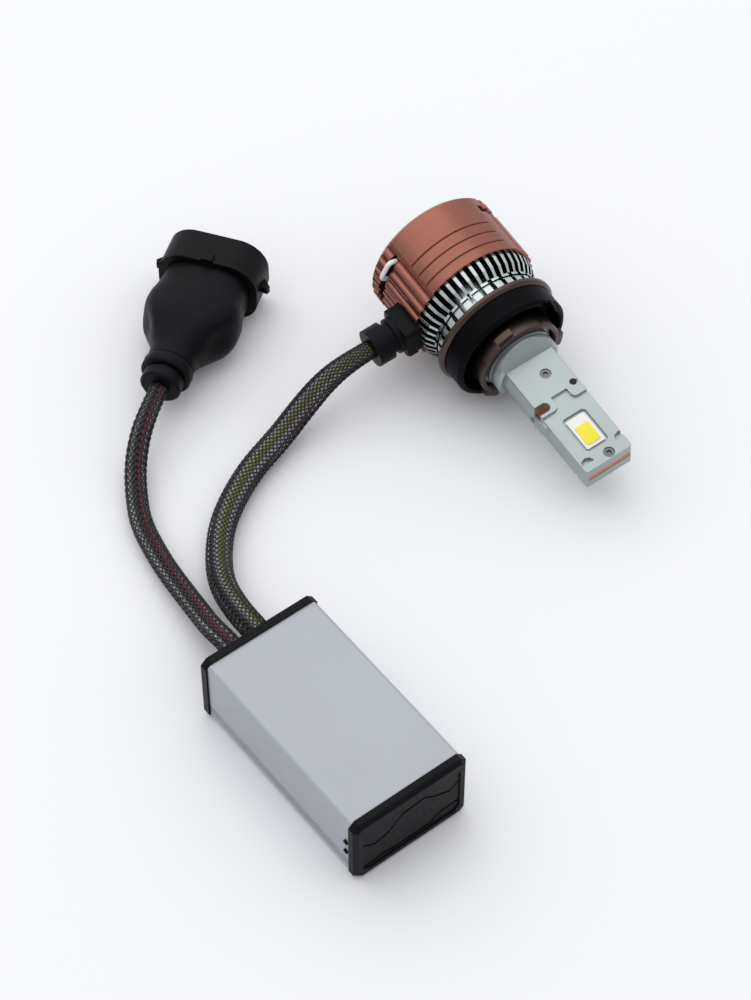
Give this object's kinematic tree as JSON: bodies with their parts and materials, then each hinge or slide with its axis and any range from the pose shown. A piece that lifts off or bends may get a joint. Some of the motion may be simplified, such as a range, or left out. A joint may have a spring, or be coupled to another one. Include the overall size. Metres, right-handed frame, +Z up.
{
  "type": "led headlight bulb",
  "caption": "LED headlight bulb with a finned fan heatsink, twist-lock collar and flat emitter stalk, on a braided cable to its driver box and a second cable to an oval power plug.",
  "frame": {"origin": "centre of the base of the box that holds the bulb, its cable grommet and the driver, on the surface that they lie on; the free cables and the plug are left out of that box", "axes": "+Z up from the surface; -Y the way the bulb's emitter stalk points; +X from the driver towards the bulb"},
  "size_m": [0.1084, 0.145, 0.0306],
  "materials": {
    "shroud": "rose-copper satin anodised",
    "black_plastic": "moulded, fine grain",
    "screw_steel": "bright",
    "magnet": "sintered ferrite",
    "bearing_bronze": "sintered bronze",
    "motor_core": "stacked sheet",
    "circuit_board": "solder mask",
    "white_wire": "smooth insulation",
    "heatsink": "dark anodised, bright edges",
    "collar": "bronze anodised",
    "seal_rubber": "matt",
    "stalk": "fine blasted",
    "copper": "rolled copper",
    "led_substrate": "white ceramic",
    "phosphor": "yellow phosphor",
    "grommet_rubber": "moulded",
    "cable_braid": "open braided sleeve",
    "driver_aluminium": "satin extrusion",
    "pad_grey": "soft pad",
    "inductor": "ferrite with winding",
    "capacitor_can": "sleeved can",
    "chip_epoxy": "moulded epoxy",
    "plug_plastic": "moulded",
    "boot_rubber": "over-moulded"
  },
  "bodies": {
    "bulb_and_driver": {"fan_shroud": "shroud", "fan_guard": "black_plastic", "guard_screws": "screw_steel", "fan_frame": "black_plastic", "fan_bearing": "bearing_bronze", "fan_stator": "motor_core", "fan_board": "circuit_board", "fan_wire": "white_wire", "heatsink": "heatsink", "collar_clip": "screw_steel", "stalk_front_half": "stalk", "stalk_rear_half": "stalk", "copper_core": "copper", "led_board_front": "led_substrate", "led_board_rear": "led_substrate", "led_emitter_front": "phosphor", "led_emitter_rear": "phosphor", "stalk_screws_front": "screw_steel", "stalk_screws_rear": "screw_steel", "cable_grommet": "grommet_rubber", "cable_bulb": "cable_braid", "cable_input": "cable_braid", "driver_case": "driver_aluminium", "front_cap": "black_plastic", "rear_cap": "black_plastic", "driver_board": "circuit_board", "thermal_pad": "pad_grey", "power_inductor": "inductor", "capacitors": "capacitor_can", "control_chips": "chip_epoxy", "plug_shroud": "plug_plastic", "plug_boot": "boot_rubber", "plug_nut": "boot_rubber", "plug_pins": "screw_steel"},
    "fan_wheel": {"fan_rotor": "black_plastic", "fan_magnet": "magnet", "fan_shaft": "screw_steel"},
    "collar": {"lock_collar": "collar", "seal_ring": "seal_rubber"}
  },
  "joints": [
    {"name": "fan_spin", "type": "hinge", "parent": "bulb_and_driver", "child": "fan_wheel", "pos_m": [0.03956, 0.04793, 0.01553], "axis": [0, -0.9949, -0.1007], "continuous": true},
    {"name": "collar_turn", "type": "hinge", "parent": "bulb_and_driver", "child": "collar", "pos_m": [0.03956, 0.02306, 0.01302], "axis": [0, -0.9949, -0.1007], "range_deg": [-180, 180]}
  ]
}
